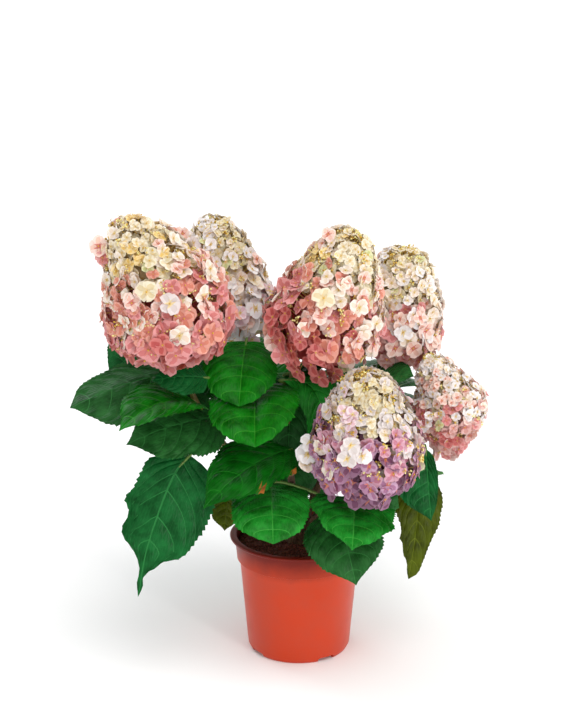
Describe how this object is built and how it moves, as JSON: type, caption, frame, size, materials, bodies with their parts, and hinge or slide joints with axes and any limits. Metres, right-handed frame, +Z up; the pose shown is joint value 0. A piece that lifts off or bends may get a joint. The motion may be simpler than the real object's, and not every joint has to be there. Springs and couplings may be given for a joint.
{
  "type": "potted panicle hydrangea",
  "caption": "Panicle hydrangea in flower in a round terracotta-coloured nursery pot, cream to pink flower heads on leafy woody stems.",
  "frame": {"origin": "centre of the flat pad in the middle of the pot's underside, on the pot's axis", "axes": "+Z up along the pot's axis, -Y towards the side that the picture shows"},
  "size_m": [0.441, 0.3901, 0.499],
  "materials": {
    "pot": "satin",
    "compost": "matt",
    "bark": "matt",
    "leaf": "satin",
    "sepal": "matt"
  },
  "bodies": {
    "root": {"pot": "pot", "compost": "compost", "woody_base": "bark", "cane_left": "bark", "cane_left_rear": "bark", "cane_middle": "bark", "cane_right_rear": "bark", "cane_front": "bark", "cane_right": "bark", "cane_back_left": "bark", "cane_back": "bark", "cane_back_right": "bark", "leaves_left": "leaf", "leaves_left_rear": "leaf", "leaves_middle": "leaf", "leaves_right_rear": "leaf", "leaves_front": "leaf", "leaves_right": "leaf", "leaves_back_left": "leaf", "leaves_back": "leaf", "leaves_back_right": "leaf", "bloom_left": "sepal", "bloom_left_rear": "sepal", "bloom_middle": "sepal", "bloom_right_rear": "sepal", "bloom_front": "sepal", "bloom_right": "sepal", "bloom_back_left": "sepal", "bloom_back": "sepal", "bloom_back_right": "sepal"}
  },
  "joints": []
}
